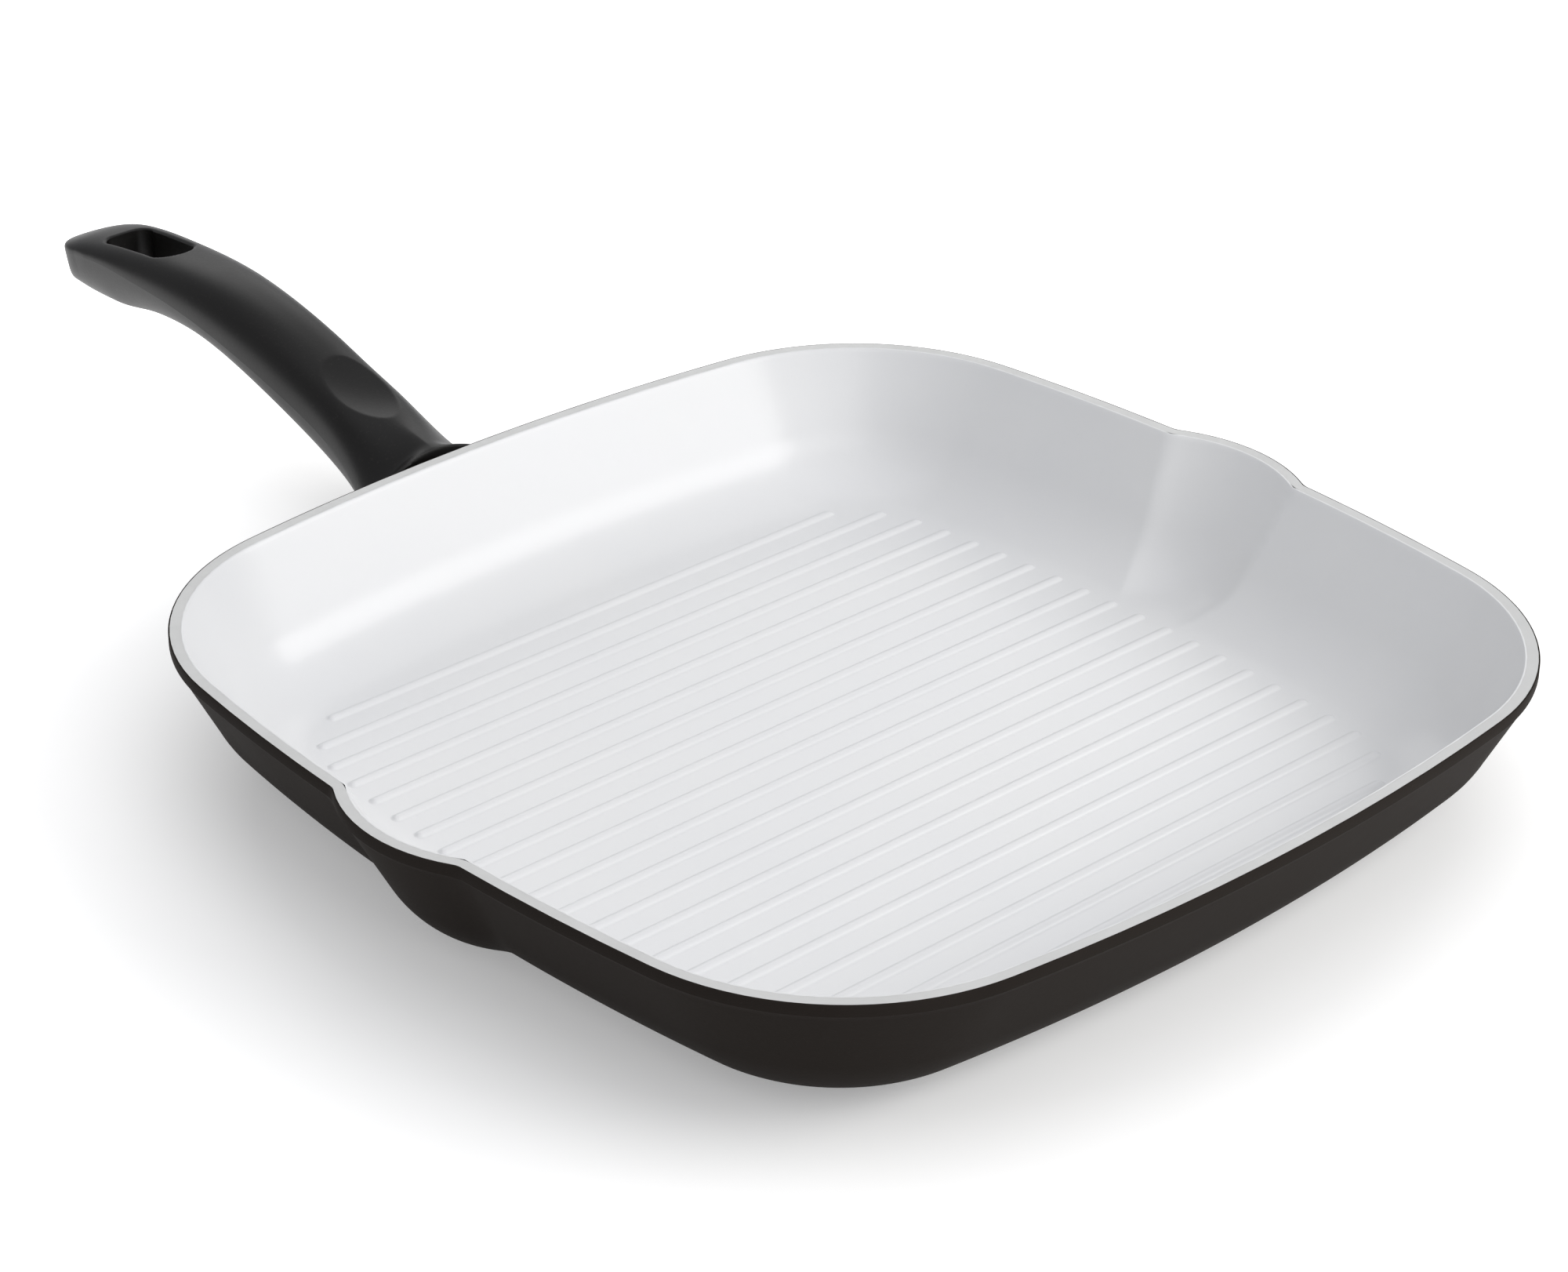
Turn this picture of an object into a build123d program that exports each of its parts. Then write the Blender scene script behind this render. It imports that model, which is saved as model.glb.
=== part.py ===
from build123d import *
from math import cos, pi, radians, sin, sqrt, tan
import os

# Frame: +Z up, the origin at the centre of the flat underside. The spouts face -X and +X, the ribs
# run along X, and the handle leaves the +Y side. All lengths are millimetres.

# Pan outline at the rim: four shallow side arcs joined by four tangent corner arcs
rim_half = 140.0
side_radius = 600.0
corner_radius = 63.3

# Pan section
rim_height = 40.3
wall_draft = radians(27.5)
wall_thickness = 4.2
edge_radius = 31.7
corner_tightening = 7.4
coat = 0.4

# Rim band: an upright edge round the top, bare on top, with a step in to the wall below it
band_height = 3.0
band_step = 0.4

# Machined foot under the floor, with shallow turned rings
foot_height = 0.6
foot_margin = 3.0
ring_depth = 0.3
ring_width = 1.2
ring_pitch = 9.0
ring_count = 10

# Pouring spouts: each a cone about an upright axis set back from the rim, rounded at the bottom
spout_setback = 37.0
spout_radius = 42.9
spout_draft = radians(27.5)
spout_edge_radius = 30.2
spout_nook_radius = 4.0

# Grill ribs: ridges with a round top and round ends, as many as fit in their outline
rib_pitch = 9.74
rib_radius = 2.2
rib_height = 1.7
rib_margin = 34.2
rib_edge_gap = 6.5
ribbed_corner = 29.8

# Neck cast on the pan's wall, and its tongue inside the grip
neck_sink = 22.0
neck_root_centre = 15.0
neck_root_width = 48.0
neck_root_thickness = 17.0
neck_reach = 22.0
neck_end_centre = 17.5
neck_width = 24.0
neck_thickness = 14.0
neck_corner = 4.0
tongue_tilt = radians(12.6)
tongue_length = 36.0
tongue_width = 15.0
tongue_thickness = 9.0
tongue_corner = 2.0
fit_clearance = 0.2

# Grip
grip_length = 163.5
grip_half_width = 13.3
grip_root_crown = 29.0
grip_rise = 22.5
grip_cap = 12.0
grip_depth = 22.0
tip_draft = radians(8.0)

# Hang hole and thumb dimple
hole_tip_gap = 21.0
hole_length = 32.0
hole_width = 15.0
hole_corner = 3.4
hole_near_corner = 2.4
dimple_place = 33.0
dimple_radius = 60.0
dimple_depth = 2.1

# Clamping screw, put in from below, and its spring washer
screw_place = 20.0
screw_radius = 2.5
screw_bite = 7.5
head_radius = 4.4
head_height = 2.6
slot_width = 1.2
slot_length = 5.0
slot_depth = 1.4
seat_thickness = 2.6
washer_radius = 4.4
washer_thickness = 1.2
washer_split = 0.8
counterbore_radius = 5.0

# One overrun for all cuts
overrun = 5.0

# Shares along the grip: place, half width, crown, cap height, depth and dome, each of its own size
grip_shares = (
    (0.000, 2.08, 0.000, 1.42, 1.10, 0.78),
    (0.016, 1.68, 0.020, 1.38, 1.10, 0.80),
    (0.040, 1.33, 0.050, 1.30, 1.10, 0.86),
    (0.075, 1.11, 0.090, 1.18, 1.09, 0.93),
    (0.120, 1.00, 0.160, 1.06, 1.08, 1.00),
    (0.173, 0.97, 0.280, 0.98, 1.09, 1.00),
    (0.247, 0.96, 0.450, 0.98, 1.07, 1.00),
    (0.333, 0.97, 0.645, 1.00, 1.03, 1.00),
    (0.457, 0.99, 0.862, 0.97, 0.94, 1.00),
    (0.568, 1.00, 0.970, 0.86, 0.85, 1.00),
    (0.667, 1.00, 0.990, 0.72, 0.84, 1.00),
    (0.753, 1.00, 0.960, 0.58, 0.87, 1.00),
    (0.827, 1.00, 0.895, 0.43, 0.92, 1.00),
    (0.877, 1.00, 0.820, 0.36, 0.95, 1.00),
    (0.926, 1.00, 0.720, 0.32, 0.89, 1.00),
    (1.012, 1.00, 0.490, 0.28, 0.70, 1.00),
)
cap_power = 2.5
keel_power = 2.6
keel_tuck_share = 0.12
section_steps = 8

# Places that follow from the sizes above
spout_axis = rim_half - spout_setback
ribbed_half = rim_half - rib_margin
ribs_each_way = int((ribbed_half - rib_edge_gap) / rib_pitch)
neck_root = rim_half - neck_sink
neck_end = rim_half + neck_reach

# Heights in the screw's frame, from the tongue's centre line
tongue_low = -tongue_thickness / 2
seat_level = tongue_low - seat_thickness
head_level = seat_level - washer_thickness


def corner_place(half, side, corner):
    """How far a corner arc's centre lies from either axis."""
    shift = side - half
    reach = side - corner
    return (sqrt(2 * reach * reach - shift * shift) - shift) / 2


def rounded_square(shrink, z, tightening=0):
    """The pan's outline, drawn in by a distance all round, as a face at height z."""
    half = rim_half - shrink
    side = side_radius - shrink
    corner = corner_radius - shrink - tightening
    place = corner_place(half, side, corner)
    join_x = half - side + side * (place + side - half) / (side - corner)
    join_y = side * place / (side - corner)
    middle = place + corner * cos(pi / 4)
    edges = []
    for turn in range(4):
        spin = Rotation(0, 0, turn * 90)
        edges.append(spin * ThreePointArc((join_x, -join_y), (half, 0), (join_x, join_y)))
        edges.append(spin * ThreePointArc((join_x, join_y), (middle, middle), (join_y, join_x)))
    return Pos(0, 0, z) * make_face(edges)


def wall_shrink(inset, height=rim_height):
    """How far the wall's face, moved in by an inset, lies inside the rim's outline at a height."""
    return band_step + inset / cos(wall_draft) + (rim_height - band_height - height) * tan(wall_draft)


def tub(inset):
    """The drafted square part of the pan, solid, moved in by an inset all round."""
    base = foot_height + inset
    top = rounded_square(wall_shrink(inset), rim_height)
    bottom = rounded_square(wall_shrink(inset, base), base, corner_tightening)
    body = loft([bottom, top], ruled=True)
    return fillet(body.edges().group_by(Axis.Z)[0], edge_radius - inset)


def spout(inset):
    """One spout, solid, moved in by an inset all round: a cone with a rounded lower end."""
    base = foot_height + inset
    top = spout_radius - band_step + band_height * tan(spout_draft) - inset / cos(spout_draft)
    rounding = spout_edge_radius - inset
    corner = top - (rim_height - base) * tan(spout_draft)
    run = rounding * tan(pi / 4 - spout_draft / 2)
    flat = corner - run
    side = corner + run * sin(spout_draft)
    rise = base + run * cos(spout_draft)
    turn = (pi / 2 - spout_draft) / 2
    middle = (flat + rounding * sin(turn), base + rounding * (1 - cos(turn)))
    profile = make_face([
        Line((0, base), (flat, base)),
        ThreePointArc((flat, base), middle, (side, rise)),
        Line((side, rise), (top, rim_height)),
        Line((top, rim_height), (0, rim_height)),
        Line((0, rim_height), (0, base)),
    ])
    return Pos(spout_axis, 0, 0) * revolve(Plane.XZ * profile, axis=Axis.Z)


def level_cut(body, height):
    """The part of a pan form that lies below a height."""
    width = 2 * (rim_half + overrun)
    keep = Pos(0, 0, height / 2) * Box(width + spout_radius, width, height)
    return body & keep


def bowl(inset):
    """The whole pan's form with both spouts, solid, moved in by an inset all round."""
    lip = spout(inset)
    return tub(inset) + lip + mirror(lip, about=Plane.YZ)


def band(inset):
    """The upright rim band, solid, with its outer face moved in by an inset."""
    outline = rounded_square(inset, rim_height)
    for side in (-1, 1):
        outline += Pos(side * spout_axis, 0, rim_height) * Circle(spout_radius - inset)
    nooks = [corner for corner in outline.vertices() if abs(corner.Y) < spout_radius]
    outline = fillet(nooks, spout_nook_radius)
    return extrude(outline, amount=-(band_height - inset))


def outside(inset):
    """The pan's outside, solid: the drafted bowl below the rim band, and the band."""
    return level_cut(bowl(inset), rim_height - band_height + inset) + band(inset)


def rib_reach(y):
    """How far a rib at this y runs to either side, inside the outline that bounds all ribs."""
    place = corner_place(ribbed_half, side_radius, ribbed_corner)
    if abs(y) < side_radius * place / (side_radius - ribbed_corner):
        return ribbed_half - side_radius + sqrt(side_radius * side_radius - y * y)
    return place + sqrt(ribbed_corner * ribbed_corner - (abs(y) - place) ** 2)


def ribs(skin):
    """All ribs, each a round bar with ball ends sunk in the floor, thinner by a skin."""
    height = foot_height + wall_thickness + rib_height - rib_radius
    bars = []
    for index in range(-ribs_each_way, ribs_each_way + 1):
        y = index * rib_pitch
        reach = rib_reach(y) - rib_radius
        bar = Plane.YZ * Cylinder(rib_radius - skin, 2 * reach)
        for side in (-1, 1):
            bar += Pos(side * reach, 0, 0) * Sphere(rib_radius - skin)
        bars.append(Pos(0, y, height) * bar)
    return bars


def hollow(skin):
    """The room inside the pan, solid, widened by a skin, with the ribs taken out of its floor."""
    return bowl(wall_thickness - skin) - ribs(skin)


def foot_face():
    """The foot's outline on the ground: inside the flat that the rounded edge leaves."""
    flat = wall_shrink(0, foot_height) + edge_radius * tan(pi / 4 - wall_draft / 2)
    return rounded_square(flat + foot_margin, 0, corner_tightening)


def foot():
    """The machined foot under the floor, with its turned rings."""
    plate = extrude(foot_face(), amount=foot_height + coat)
    for index in range(ring_count):
        middle = (index + 1) * ring_pitch
        ring = Cylinder(middle + ring_width / 2, 2 * ring_depth)
        plate -= ring - Cylinder(middle - ring_width / 2, 2 * ring_depth)
    return plate


def neck(inset):
    """The cast neck from the pan's wall to the grip, moved in by an inset all round."""
    root = Plane((0, neck_root, neck_root_centre), x_dir=(1, 0, 0), z_dir=(0, 1, 0))
    end = Plane((0, neck_end, neck_end_centre), x_dir=(1, 0, 0), z_dir=(0, 1, 0))
    corner = neck_corner - inset
    first = RectangleRounded(neck_root_width - 2 * inset, neck_root_thickness - 2 * inset, corner)
    last = RectangleRounded(neck_width - 2 * inset, neck_thickness - 2 * inset, corner)
    return loft([root * first, end * last])


def tongue(gap):
    """The tongue inside the grip, or with a gap round it the grip's socket for it."""
    along = Plane((0, neck_end, neck_end_centre), x_dir=(1, 0, 0), z_dir=(0, cos(tongue_tilt), sin(tongue_tilt)))
    face = RectangleRounded(tongue_width + 2 * gap, tongue_thickness + 2 * gap, tongue_corner + gap)
    bar = extrude(along.offset(-tongue_corner) * face, amount=tongue_corner + tongue_length + gap)
    return bar


def screw_frame():
    """The clamping screw's frame: its origin on the tongue's centre line, its Z towards the top."""
    origin = (0, neck_end + screw_place * cos(tongue_tilt), neck_end_centre + screw_place * sin(tongue_tilt))
    return Plane(origin, x_dir=(1, 0, 0), z_dir=(0, -sin(tongue_tilt), cos(tongue_tilt)))


def post(radius, low, high):
    """A round post on the screw's axis between two heights in the screw's frame."""
    return screw_frame() * (Pos(0, 0, (low + high) / 2) * Cylinder(radius, high - low))


def pan_casting():
    body = outside(coat) + foot() + neck(coat) + tongue(0)
    body -= hollow(coat)
    return body - post(screw_radius + fit_clearance / 2, seat_level, tongue_low + screw_bite + fit_clearance)


def ceramic_lining():
    return hollow(coat) - hollow(0)


def outer_coating():
    skin = outside(0) + neck(0)
    return skin - outside(coat) - neck(coat) - extrude(foot_face(), amount=foot_height + 2 * coat)


def grip_section(place, width, crown, cap, depth, dome):
    """One cross section of the grip: a domed cap over a keel, meeting at an edge on each side."""
    half = grip_half_width * width
    top = grip_root_crown + grip_rise * crown
    edge = top - grip_cap * cap
    low = top - grip_depth * depth
    power = cap_power * dome
    cap_points = []
    keel_points = []
    for step in range(section_steps + 1):
        angle = pi * step / section_steps
        side = 1 if step * 2 < section_steps else -1
        across = abs(cos(angle)) if step * 2 != section_steps else 0
        up = abs(sin(angle)) if 0 < step < section_steps else 0
        cap_points.append((side * half * across ** (2 / power), edge + (top - edge) * up ** (2 / power)))
        tuck = 1 - keel_tuck_share * up
        keel_x = -side * half * tuck * across ** (2 / keel_power)
        keel_points.append((keel_x, edge - (edge - low) * up ** (2 / keel_power)))
    plane = Plane((0, neck_end + grip_length * place, 0), x_dir=(-1, 0, 0), z_dir=(0, 1, 0))
    return plane * make_face([Spline(cap_points), Spline(keel_points)])


def crown_height(place):
    """The height of the grip's crown at a share of its length."""
    for before, after in zip(grip_shares, grip_shares[1:]):
        if place <= after[0]:
            part_way = (place - before[0]) / (after[0] - before[0])
            return grip_root_crown + grip_rise * (before[2] + part_way * (after[2] - before[2]))
    return grip_root_crown


def grip_outline():
    """What bounds the grip in plan: free along its length, and a drafted round at the tip."""
    centre = neck_end + grip_length - grip_half_width
    top = grip_root_crown + grip_rise
    high = top + overrun
    low_radius = grip_half_width - (top - grip_cap) * tan(tip_draft)
    high_radius = grip_half_width + (grip_cap + overrun) * tan(tip_draft)
    widest = grip_half_width * max(row[1] for row in grip_shares)
    free = Pos(0, (neck_end + centre) / 2, high / 2) * Box(2 * widest + overrun, centre - neck_end, high)
    return free + Pos(0, centre, high / 2) * Cone(low_radius, high_radius, high)


def hang_hole():
    """The hang hole's cutter: a triangle with round corners, its wide side towards the tip."""
    end = neck_end + grip_length - hole_tip_gap
    near = end - hole_length + hole_near_corner
    far = end - hole_corner
    side = hole_width / 2 - hole_corner
    rounds = [Pos(0, near) * Circle(hole_near_corner)]
    rounds += [Pos(x, far) * Circle(hole_corner) for x in (-side, side)]
    face = make_hull([edge for circle in rounds for edge in circle.edges()])
    return extrude(make_face(face.edges()), amount=grip_root_crown + grip_rise + overrun)


def dimple():
    """The thumb dimple's cutter: a ball that dips into the crown, square to its slope."""
    place = dimple_place / grip_length
    step = hole_near_corner / grip_length
    rise = crown_height(place + step) - crown_height(place - step)
    slope = rise / (2 * hole_near_corner)
    lean = 1 / sqrt(1 + slope * slope)
    lift = (dimple_radius - dimple_depth) * lean
    centre_y = neck_end + dimple_place - lift * slope
    return Pos(0, centre_y, crown_height(place) + lift) * Sphere(dimple_radius)


def handle_grip():
    body = loft([grip_section(*row) for row in grip_shares]) & grip_outline()
    body -= hang_hole()
    body -= dimple()
    body -= tongue(fit_clearance)
    body -= post(screw_radius + fit_clearance, seat_level - overrun, tongue_low)
    return body - post(counterbore_radius, seat_level - 2 * grip_depth, seat_level)


def handle_screw():
    body = post(screw_radius, head_level, tongue_low + screw_bite) + post(head_radius, head_level - head_height, head_level)
    low = head_level - head_height
    for turn in (0, 90):
        slot = Rotation(0, 0, turn) * Box(slot_length, slot_width, 2 * slot_depth)
        body -= screw_frame() * (Pos(0, 0, low) * slot)
    return body


def spring_washer():
    ring = post(washer_radius, head_level, seat_level) - post(screw_radius + fit_clearance, head_level, seat_level)
    split = Pos(washer_radius, 0, (head_level + seat_level) / 2) * Box(2 * washer_radius, washer_split, 2 * washer_thickness)
    return ring - screw_frame() * split


nodes = {
    "pan_casting": pan_casting,
    "ceramic_lining": ceramic_lining,
    "outer_coating": outer_coating,
    "handle_grip": handle_grip,
    "handle_screw": handle_screw,
    "spring_washer": spring_washer,
}

os.makedirs("parts", exist_ok=True)
for name, make in nodes.items():
    export_step(make(), f"parts/{name}.step")
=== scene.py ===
from math import atan2, cos, hypot, pi, radians, sin, sqrt, tan

import bpy
import numpy as np
from mathutils import Matrix, Vector


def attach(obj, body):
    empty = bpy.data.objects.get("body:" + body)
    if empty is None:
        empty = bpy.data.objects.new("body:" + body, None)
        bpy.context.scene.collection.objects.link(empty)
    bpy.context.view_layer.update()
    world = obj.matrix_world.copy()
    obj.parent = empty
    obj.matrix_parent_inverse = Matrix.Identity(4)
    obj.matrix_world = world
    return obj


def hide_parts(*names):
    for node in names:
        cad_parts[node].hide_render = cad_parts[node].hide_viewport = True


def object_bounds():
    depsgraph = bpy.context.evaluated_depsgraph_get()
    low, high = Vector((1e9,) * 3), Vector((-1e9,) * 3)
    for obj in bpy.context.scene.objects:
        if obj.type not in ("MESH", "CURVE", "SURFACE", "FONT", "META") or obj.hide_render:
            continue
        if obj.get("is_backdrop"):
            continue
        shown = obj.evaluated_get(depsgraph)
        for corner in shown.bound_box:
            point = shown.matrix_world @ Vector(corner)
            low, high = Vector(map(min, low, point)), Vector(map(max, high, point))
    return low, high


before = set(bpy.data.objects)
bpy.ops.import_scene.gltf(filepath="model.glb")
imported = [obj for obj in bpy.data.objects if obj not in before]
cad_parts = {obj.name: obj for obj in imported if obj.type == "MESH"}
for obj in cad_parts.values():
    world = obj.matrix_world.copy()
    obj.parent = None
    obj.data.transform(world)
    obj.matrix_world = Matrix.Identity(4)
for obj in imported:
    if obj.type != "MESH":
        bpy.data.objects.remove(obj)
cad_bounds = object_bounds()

mm = 0.001

# Pan: the same sizes as the solid model, in millimetres
rim_half = 140.0
side_radius = 600.0
corner_radius = 63.3
rim_height = 40.3
wall_draft = radians(27.5)
wall_thickness = 4.2
edge_radius = 31.7
corner_tightening = 7.4
coat = 0.4
band_height = 3.0
band_step = 0.4
foot_height = 0.6
foot_margin = 3.0
spout_axis = 103.0
spout_radius = 42.9
spout_edge_radius = 30.2

# How softly the spouts run into the wall: inside, outside, and at the rim band
lining_crease = 1.3
coating_crease = 2.6
band_crease = 0.9

# Ribs, low and on a raised floor, so that the casting's own ribs stay under the lining
rib_pitch = 9.74
rib_radius = 2.0
rib_height = 0.74
rib_foot = 1.1
rib_sink = 0.01
floor_fill = 0.7
flat_floor_radius = 95.0  # the cove lies wholly outside it
ribs_each_way = 10
ribbed_half = 105.8
ribbed_corner = 29.8

# Neck between the pan's wall and the grip
neck_root = 118.0
neck_root_centre = 15.0
neck_root_size = (48.0, 17.0)
neck_end = 162.0
neck_end_centre = 17.5
neck_end_size = (24.0, 14.0)
neck_corner = 4.0
neck_fillet = 5.0
neck_bite = 1.0

# Grip
grip_length = 163.5
grip_half_width = 13.3
grip_root_crown = 29.0
grip_rise = 22.5
grip_cap = 12.0
grip_depth = 22.0
root_edge = 0.9
cap_power = 2.5
keel_power = 2.6
keel_tuck = 0.16
keel_step = 0.25
keel_step_start = 30.0
keel_step_run = 50.0

# Grip's tip: how far its end leans, how soft the edge round it is, and the run over which
# that edge grows
tip_draft = radians(8.0)
tip_edge = 1.6
tip_edge_run = 8.0
tip_least_edge = 0.02

# Hang hole, with its lip's size and the share of it that is rounded off, and how deep inside
# the outline distances still count
hole_tip_gap = 20.0
hole_length = 30.0
hole_width = 15.0
hole_corner = 3.4
hole_near_corner = 6.9
hole_lip = 0.9
hole_lip_depth = 1.6
hole_deep = 5.0

# Thumb dimple, with the run over which the crown's slope is read, and a height above everything
dimple_place = 32.0
dimple_radius = 50.0
dimple_depth = 2.0
dimple_edge = 0.10
dimple_slope_run = 2.4
far_above = 999.0

# Tongue, screw passage and counterbore inside the grip
tongue_tilt = radians(12.6)
tongue_length = 36.0
tongue_size = (15.0, 9.0)
tongue_corner = 2.0
fit_clearance = 0.2
screw_place = 20.0
screw_radius = 2.5
seat_thickness = 2.6
counterbore_radius = 5.0

# Cutters: the hang hole's top, the counterbore's run downward, and the screw passage's overrun
hole_cutter_top = 70.0
bore_run = 44.0
overrun = 1.0

# Along the grip: place, half width, crown, cap height, depth and dome, each a share of its own size
grip_shares = (
    (0.000, 2.10, 0.000, 1.60, 1.18, 0.78),
    (0.016, 1.84, 0.016, 1.60, 1.17, 0.60),
    (0.040, 1.55, 0.046, 1.48, 1.15, 0.56),
    (0.075, 1.29, 0.088, 1.30, 1.14, 0.66),
    (0.120, 1.12, 0.160, 1.13, 1.13, 0.84),
    (0.173, 1.03, 0.280, 1.01, 1.12, 0.97),
    (0.247, 0.98, 0.450, 0.98, 1.09, 1.00),
    (0.333, 0.98, 0.642, 1.00, 1.05, 1.00),
    (0.457, 0.99, 0.850, 0.97, 0.96, 1.00),
    (0.568, 1.00, 0.944, 0.86, 0.88, 1.00),
    (0.667, 1.00, 0.943, 0.72, 0.87, 1.00),
    (0.753, 1.00, 0.898, 0.58, 0.90, 1.00),
    (0.827, 1.00, 0.835, 0.43, 0.95, 1.00),
    (0.877, 1.00, 0.778, 0.36, 0.91, 1.00),
    (0.926, 1.00, 0.700, 0.32, 0.82, 1.00),
    (1.012, 1.00, 0.455, 0.28, 0.43, 1.00),
)

# Places that follow from the sizes above
tip_centre = neck_end + grip_length - grip_half_width
hole_end = neck_end + grip_length - hole_tip_gap
hole_near_centre = hole_end - hole_length + hole_near_corner
hole_far_centre = hole_end - hole_corner
hole_side = hole_width / 2 - hole_corner

# Small steps of the lining and the rim band. Lip: out from the wall, and down from the rim.
# Band step: share of its depth, and up from the wall's top. Band edge: in, and down from the rim.
lip_start = 0.12
lip_rows = ((0.06, 0.03), (0.14, 0.0))
band_step_rows = ((0.35, -0.06), (0.85, 0.06))
band_step_rise = 0.28
band_step_drop = 0.25
band_edge_rows = ((0.0, 0.25), (0.08, 0.08), (0.25, 0.0), (coat, 0.0))

# Back of both coatings, out of sight between them and the casting
back_gap = 0.02
back_drop = 1.0
band_back_rise = 0.5
band_back_drop = 0.2

# How finely the pan is drawn. Section steps: round the lower edge, and up the wall.
outline_side_steps = 30
outline_corner_steps = 60
spout_sector = 14.0
spout_spacing = 0.25
wall_spacing = 0.75
lining_steps = (26, 20)
coating_steps = (28, 16)
back_steps = (8, 5)
floor_ring_shares = (0.25, 0.6, 0.9, 0.985)  # of the floor's reach
rib_crest_steps = 8
rib_toe_steps = 5
rib_side_steps = 30
rib_end_steps = 14

# How finely the neck and the grip are drawn. Neck spans: from the root, to, and number of slices.
# Grip spans: from its root, to, and spacing, close together at the root, the dimple and the hole.
neck_spans = ((neck_root, neck_root + 26, 27), (neck_root + 28, neck_end, 8))
grip_spans = (
    (0, 12, 0.5),
    (12, 56, 0.45),
    (56, 106, 1.5),
    (106, grip_length - grip_half_width, 0.45),
)
tip_slices = 44
tip_left_open = 0.05  # radians short of the very end, which flat faces close
section_steps = 72
hole_corner_steps = 20
oblong_corner_steps = 6
round_steps = 48

# Largest turn between faces that still shade as one surface, in degrees: as made, and once cut
made_crease = 35.0
cut_crease = 38.0

# Camera, fitted to the rim, the outline and the ribs
camera_yaw = 0.7475
camera_pitch = 0.4973
camera_roll = 0.0077
camera_distance = 1072.19
camera_aim = (34.95, 61.60)
camera_lens = 94.446
sensor_width = 36.0
nearest_seen = 0.05
farthest_seen = 20.0

# Lamps: name, place, size, watts, tint and target, in metres
pan_middle = (0, 0.03, 0.02)
grip_root = (0, 0.22, 0.04)
lamps = (
    ("key_softbox", (0.59, -0.74, 0.61), (0.80, 0.52), 5.7, (1.0, 0.99, 0.97), pan_middle),
    ("top_softbox", (0.0, 0.0, 1.3), (1.2, 1.2), 2.6, (0.965, 0.975, 1.0), pan_middle),
    ("front_softbox", (-0.5, -1.3, 1.1), (1.3, 1.0), 5.5, (0.98, 0.985, 1.0), pan_middle),
    ("back_softbox", (0.75, 1.0, 0.62), (1.0, 0.6), 2.0, (1.0, 0.99, 0.975), grip_root),
)

# Sky, and the floor's own glow: a share of white near the pan, and all white from glow_far outward.
# The dimmer glow near the pan is painted shade round it.
sky_tint = (0.955, 0.97, 1.0)
sky_strength = 0.45
floor_glow = 0.30
glow_near = 0.145
glow_far = 0.34
floor_half = 4000.0


# Shader arithmetic

class Value:
    """A shader output that takes part in plain Python sums."""

    def __init__(self, finish, socket):
        self.finish = finish
        self.socket = socket

    def sum(self, operation, first, second):
        return self.finish.node("ShaderNodeMath", {"operation": operation}, {0: first, 1: second})

    def __add__(self, other):
        return self.sum("ADD", self, other)

    def __radd__(self, other):
        return self.sum("ADD", other, self)

    def __sub__(self, other):
        return self.sum("SUBTRACT", self, other)

    def __rsub__(self, other):
        return self.sum("SUBTRACT", other, self)

    def __mul__(self, other):
        return self.sum("MULTIPLY", self, other)

    def __rmul__(self, other):
        return self.sum("MULTIPLY", other, self)

    def __truediv__(self, other):
        return self.sum("DIVIDE", self, other)

    def __rtruediv__(self, other):
        return self.sum("DIVIDE", other, self)


class Finish:
    """One material and its nodes."""

    def __init__(self, name):
        self.material = bpy.data.materials.new(name)
        self.material.use_nodes = True
        self.tree = self.material.node_tree
        self.tree.nodes.clear()

    def node(self, kind, settings=None, inputs=None, output=0):
        """A node with its settings made first, then its sockets linked or set."""
        made = self.tree.nodes.new(kind)
        for key, value in (settings or {}).items():
            setattr(made, key, value)
        for key, value in (inputs or {}).items():
            if isinstance(value, Value):
                self.tree.links.new(value.socket, made.inputs[key])
            else:
                made.inputs[key].default_value = value
        return Value(self, made.outputs[output])

    def place(self):
        return self.node("ShaderNodeTexCoord", output="Object")

    def stretched(self, scale):
        """Object coordinates times a scale along each axis."""
        inputs = {0: self.place(), 1: scale}
        return self.node("ShaderNodeVectorMath", {"operation": "MULTIPLY"}, inputs)

    def noise(self, scale, detail, roughness, where=None):
        inputs = {"Scale": scale, "Detail": detail, "Roughness": roughness}
        inputs["Vector"] = where or self.place()
        return self.node("ShaderNodeTexNoise", None, inputs, "Fac")

    def band(self, value, low, high, out_low=0.0, out_high=1.0):
        """A value from one span moved to another, and held at its ends."""
        inputs = {"Value": value, "From Min": low, "From Max": high}
        inputs.update({"To Min": out_low, "To Max": out_high})
        return self.node("ShaderNodeMapRange", {"clamp": True}, inputs)

    def mix(self, share, first, second):
        """One colour blended into another. Sockets 6 and 7 are the node's colours."""
        inputs = {0: share, 6: first, 7: second}
        return self.node("ShaderNodeMix", {"data_type": "RGBA"}, inputs, 2)

    def bump(self, height, distance, strength):
        """A normal from fine relief. The distance is in metres."""
        inputs = {"Height": height, "Distance": distance, "Strength": strength}
        return self.node("ShaderNodeBump", None, inputs)

    def light_path(self, kind):
        return self.node("ShaderNodeLightPath", output=kind)

    def surface(self, shader):
        end = self.tree.nodes.new("ShaderNodeOutputMaterial")
        self.tree.links.new(shader.socket, end.inputs["Surface"])
        return self.material

    def principled(self, **values):
        inputs = {key.replace("_", " "): value for key, value in values.items()}
        return self.surface(self.node("ShaderNodeBsdfPrincipled", None, inputs))


def colour(red, green, blue):
    return (red, green, blue, 1.0)


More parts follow.
